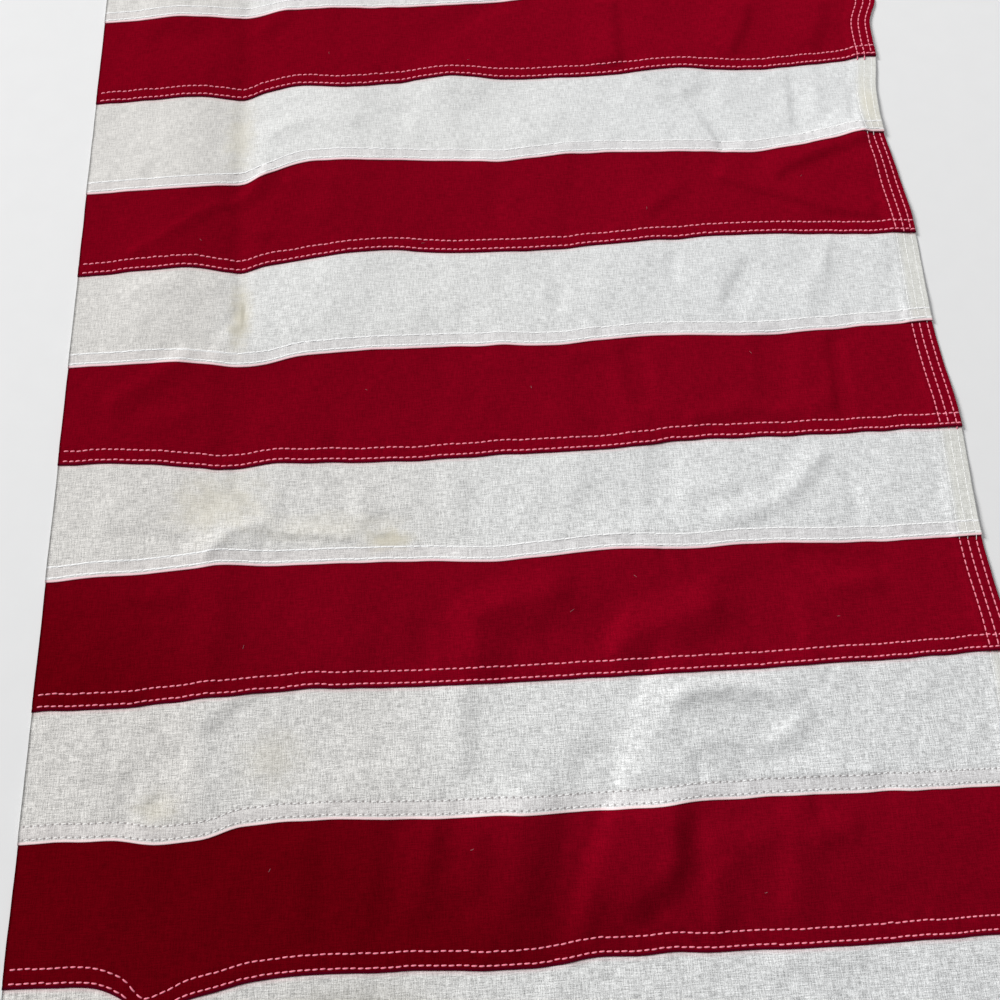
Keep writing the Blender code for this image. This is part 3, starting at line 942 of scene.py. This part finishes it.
def stained_and_shaded(graph, colour, spots, tone):
    """A colour with ragged spots of one tone: stain marks, some of them partly painted shade."""
    for (x, y), (wide, high), strength in spots:
        spot = graph.scaled((1 / (wide * MM), 1 / (high * MM), 0), (x * MM, y * MM, 0))
        length = graph.tree.nodes.new("ShaderNodeVectorMath")
        length.operation = "LENGTH"
        graph.link(spot, length.inputs[0])
        ragged = graph.noise((90, 120, 1), detail=4.0, roughness=0.65, shift=(x, y, 0))
        away = graph.math("MULTIPLY_ADD", ragged, 1.3, length.outputs["Value"])
        share = graph.ramp(away, 0.7, 1.7, 0.75 * strength, 0.0)
        colour = graph.mix(share, colour, tone)
    return colour


def yellowing_and_shade(graph, cloud):
    """How far the white takes its darker, yellower tone: left of the storage crease, partly
    yellowing and partly painted shade of the cloth falling away, and at the lower left, painted
    shade.
    """
    east = graph.math("MULTIPLY_ADD", cloud, -0.02, graph.axis("X"))
    south = graph.math("MULTIPLY_ADD", cloud, -0.04, graph.axis("Y"))
    past_crease = graph.ramp(east, -0.212, -0.168, 1, 0)
    west_part = graph.ramp(east, -0.12, -0.02, 0.65, 0)
    lower_left = graph.math("MULTIPLY", west_part, graph.ramp(south, -0.06, 0.02, 1, 0))
    return graph.math("MAXIMUM", past_crease, lower_left)


def white_cotton():
    """Off-white bunting: flecked, a little sheer over red at its hems, and with stain marks.
    Painted shade darkens it left of the crease, at the lower left, under the red hems, on the side
    of the hems' edges and in the open needle holes, and a painted pink highlight runs along the
    hems' edges.
    """
    material, tree, shader = node_material("white_cotton")
    graph = Graph(tree)
    cloud = graph.noise((11, 14, 1), detail=3.0)
    warmer = graph.mix(cloud, *WARM_WHITE)
    cooler = graph.mix(cloud, *COOL_WHITE)
    tone = graph.mix(graph.ramp(graph.axis("X"), -0.08, 0.15, 0, 1), warmer, cooler)
    # painted shade with some yellowing: darker and yellower left of the crease and at the lower
    # left
    tone = graph.mix(yellowing_and_shade(graph, cloud), tone, YELLOWED_AND_SHADED_WHITE)
    woven, threads = weave(graph, tone, graph.ramp(graph.axis("Y"), -0.35, 0.30, 0.66, 0.35))
    # stain marks, some of them partly painted shade: along the trough near (-86, -88) and at the
    # lower left near (-110, -334)
    colour = stained_and_shaded(graph, woven, STAINS_AND_SHADE_SPOTS, STAIN_AND_SHADE_TONE)
    colour = stained_and_shaded(graph, colour, DARK_STAINS_AND_SHADE_SPOTS, DARK_STAIN_AND_SHADE_TONE)
    over_red = graph.math("MULTIPLY", graph.mark("hem"), 0.25)
    colour = graph.mix(over_red, colour, WHITE_OVER_RED)
    in_hem = graph.ramp(graph.mark("fly_mm"), FLY_HEM / MM - 6, FLY_HEM / MM + 1, 0.35, 0.0)
    colour = graph.mix(in_hem, colour, WHITE_FLY_HEM)
    # painted shade with red light in it, just below a red hem
    below = graph.ramp(graph.mark("above_mm"), 0.0, 3.0, 0.45, 0.0)
    colour = graph.mix(below, colour, WHITE_SHADE_UNDER_RED)
    colour = graph.mix(thread_lines(graph), colour, PRESSED_THREAD)
    # a painted pink highlight along the hem's folded edge
    line = graph.ramp(graph.mark("edge_mm"), 1.1, 1.6, 0.95, 0.0)
    pink = graph.mix(graph.mark("holes"), *PINK_EDGE_HIGHLIGHT)
    colour = graph.mix(line, colour, pink)
    # painted shade, dark red, on the side of the hem's edge
    outer = graph.ramp(graph.mark("edge_mm"), 0.02, 0.25, 0.9, 0.0)
    colour = graph.mix(outer, colour, WHITE_EDGE_WALL_SHADE)
    # painted shade in the open seam's needle holes
    colour = graph.mix(needle_hole_shade(graph), colour, NEEDLE_HOLE_SHADE)
    graph.link(colour, shader.inputs["Base Color"])
    graph.link(graph.ramp(threads, 0.2, 0.8, 0.80, 0.95), shader.inputs["Roughness"])
    graph.link(graph.bump(threads, WHITE_RELIEF), shader.inputs["Normal"])
    shader.inputs["Specular IOR Level"].default_value = 0.12
    shader.inputs["Sheen Weight"].default_value = 0.1
    shader.inputs["Sheen Roughness"].default_value = 0.6
    return material


def red_cotton():
    """Deep red bunting with a red lustre, darker to the left, with painted shade at the lower left
    corner, on the lowest stripe and along the hems' folded edges.
    """
    material, tree, shader = node_material("red_cotton")
    graph = Graph(tree)
    cloud = graph.noise((13, 17, 1), detail=3.0)
    tone = graph.mix(cloud, *RED)
    # darker towards the left
    darker_left = graph.ramp(graph.axis("X"), -0.25, 0.12, 1, 0)
    tone = graph.mix(darker_left, tone, LEFT_DARKER_RED)
    # painted shadow over the lower left corner
    to_corner = graph.math("MULTIPLY_ADD", graph.axis("Y"), 1.4, graph.axis("X"))
    tone = graph.mix(graph.ramp(to_corner, -0.53, -0.30, 1.0, 0.0), tone, CORNER_SHADE_RED)
    # painted shade over the lowest stripe, darker towards the bottom
    lowest = graph.ramp(graph.axis("Y"), -0.30, -0.23, 0.31, 0.0)
    tone = graph.mix(lowest, tone, LOW_SHADE_RED)
    woven, threads = weave(graph, tone, 0.40)
    # painted shade along the hem's folded edge
    edge = graph.ramp(graph.mark("edge_mm"), 0.9, 1.7, 0.72, 0.0)
    colour = graph.mix(edge, woven, RED_EDGE_SHADE)
    graph.link(colour, shader.inputs["Base Color"])
    shader.inputs["Roughness"].default_value = 0.62
    graph.link(graph.bump(threads, RED_RELIEF), shader.inputs["Normal"])
    shader.inputs["Specular IOR Level"].default_value = 0.0
    shader.inputs["Sheen Weight"].default_value = 0.5
    shader.inputs["Sheen Roughness"].default_value = 0.4
    shader.inputs["Sheen Tint"].default_value = RED_SHEEN
    return material


def thread_material(name, tones):
    """Twisted thread, with the tone of its ridges and of the gaps between them."""
    material, tree, shader = node_material(name)
    graph = Graph(tree)
    twist = graph.noise((1500, 1500, 600), detail=2.0, roughness=0.6)
    ridge, gap = tones
    shade = graph.mix(graph.ramp(twist, 0.35, 0.65, 0, 1), gap, ridge)
    graph.link(shade, shader.inputs["Base Color"])
    graph.link(graph.ramp(twist, 0.2, 0.8, 0.6, 0.85), shader.inputs["Roughness"])
    graph.link(graph.bump(twist, TWIST_RELIEF), shader.inputs["Normal"])
    shader.inputs["Specular IOR Level"].default_value = 0.05
    return material


def floor_material():
    """Plain pale floor."""
    material, tree, shader = node_material("pale_floor")
    graph = Graph(tree)
    speckle = graph.noise((60, 60, 1), detail=3.0)
    shade = graph.mix(speckle, *PALE_FLOOR)
    graph.link(shade, shader.inputs["Base Color"])
    shader.inputs["Roughness"].default_value = 0.7
    shader.inputs["Specular IOR Level"].default_value = 0.2
    return material


def make_floor():
    """The surface that the cloth lies on."""
    bpy.ops.mesh.primitive_plane_add(size=6, location=(0, 0, -0.2 * MM))
    floor = bpy.context.object
    floor.name = "floor"
    floor.data.materials.append(floor_material())


def make_camera():
    """The camera, where the photo was taken from."""
    data = bpy.data.cameras.new("camera")
    data.sensor_width = SENSOR
    data.lens = LENS
    data.clip_start = 0.01
    camera = bpy.data.objects.new("camera", data)
    bpy.context.scene.collection.objects.link(camera)
    camera.location = CAMERA_PLACE
    level = math.cos(CAMERA_TILT)
    ahead = Vector((
        math.sin(CAMERA_TURN) * level,
        math.cos(CAMERA_TURN) * level,
        -math.sin(CAMERA_TILT),
    ))
    camera.rotation_mode = "QUATERNION"
    camera.rotation_quaternion = ahead.to_track_quat("-Z", "Y")
    bpy.context.scene.camera = camera


def area_light(name, light, target):
    """A square light that faces a point."""
    place, size, power = light
    data = bpy.data.lights.new(name, "AREA")
    data.shape = "SQUARE"
    data.size = size
    data.energy = power
    lamp = bpy.data.objects.new(name, data)
    bpy.context.scene.collection.objects.link(lamp)
    lamp.location = place
    lamp.rotation_mode = "QUATERNION"
    lamp.rotation_quaternion = (Vector(target) - Vector(place)).to_track_quat("-Z", "Y")


def make_lights():
    """A broad window beyond the cloth and a little to its left, with an even fill."""
    area_light("window", WINDOW, WINDOW_TARGET)
    area_light("room", ROOM, (0, 0, 0))
    world = bpy.data.worlds.new("fill")
    world.use_nodes = True
    background = world.node_tree.nodes["Background"]
    background.inputs["Color"].default_value = SKY
    background.inputs["Strength"].default_value = SKY_STRENGTH
    bpy.context.scene.world = world
    bpy.context.scene.view_settings.view_transform = "Standard"


def sew_seam(stripe, thread, chance):
    """The two rows of stitches along a stripe's lower hem, as one object."""
    share = ON_RED_LENGTH
    width = THREAD_WIDTH * (TOP_WIDENING - WIDENING_LOSS * stripe)
    if stripe == OPEN_SEAM:
        share = OPEN_SEAM_LENGTH
        width = FINE_WIDTH
    elif not is_red(stripe):
        share = MEETING_LENGTH
        width = LINE_WIDTH
    joined = Joined()
    for up in SEAM_ROWS:
        seam_stitches(joined, stripe, up, share, width, chance)
    return joined.piece(f"stitches_{stripe + 1:02d}", thread, "white_thread")


def sew():
    """All the stitches: those of the fly hem in two objects, and each seam's in one."""
    on_red = thread_material("thread_on_red", THREAD_ON_RED)
    on_white = thread_material("thread_on_white", THREAD_ON_WHITE)
    chance = random.Random(11)
    fly_red = Joined()
    fly_white = Joined()
    for inside in FLY_ROWS:
        fly_stitches(fly_red, fly_white, inside, chance)
    fly_red.piece("fly_stitches_on_red", on_red, "white_thread")
    fly_white.piece("fly_stitches_on_white", on_white, "white_thread")
    return [sew_seam(seam, on_red if is_red(seam) else on_white, chance) for seam in range(LAST)]


def build():
    """The whole scene."""
    make_camera()
    make_lights()
    make_floor()
    white = white_cotton()
    red = red_cotton()
    for stripe in range(STRIPE_COUNT):
        material, slot = (red, "red_cotton") if is_red(stripe) else (white, "white_cotton")
        stripe_sheet(stripe, material)
    seams = sew()
    lint(thread_material("lint", LINT_FIBRE))


build()
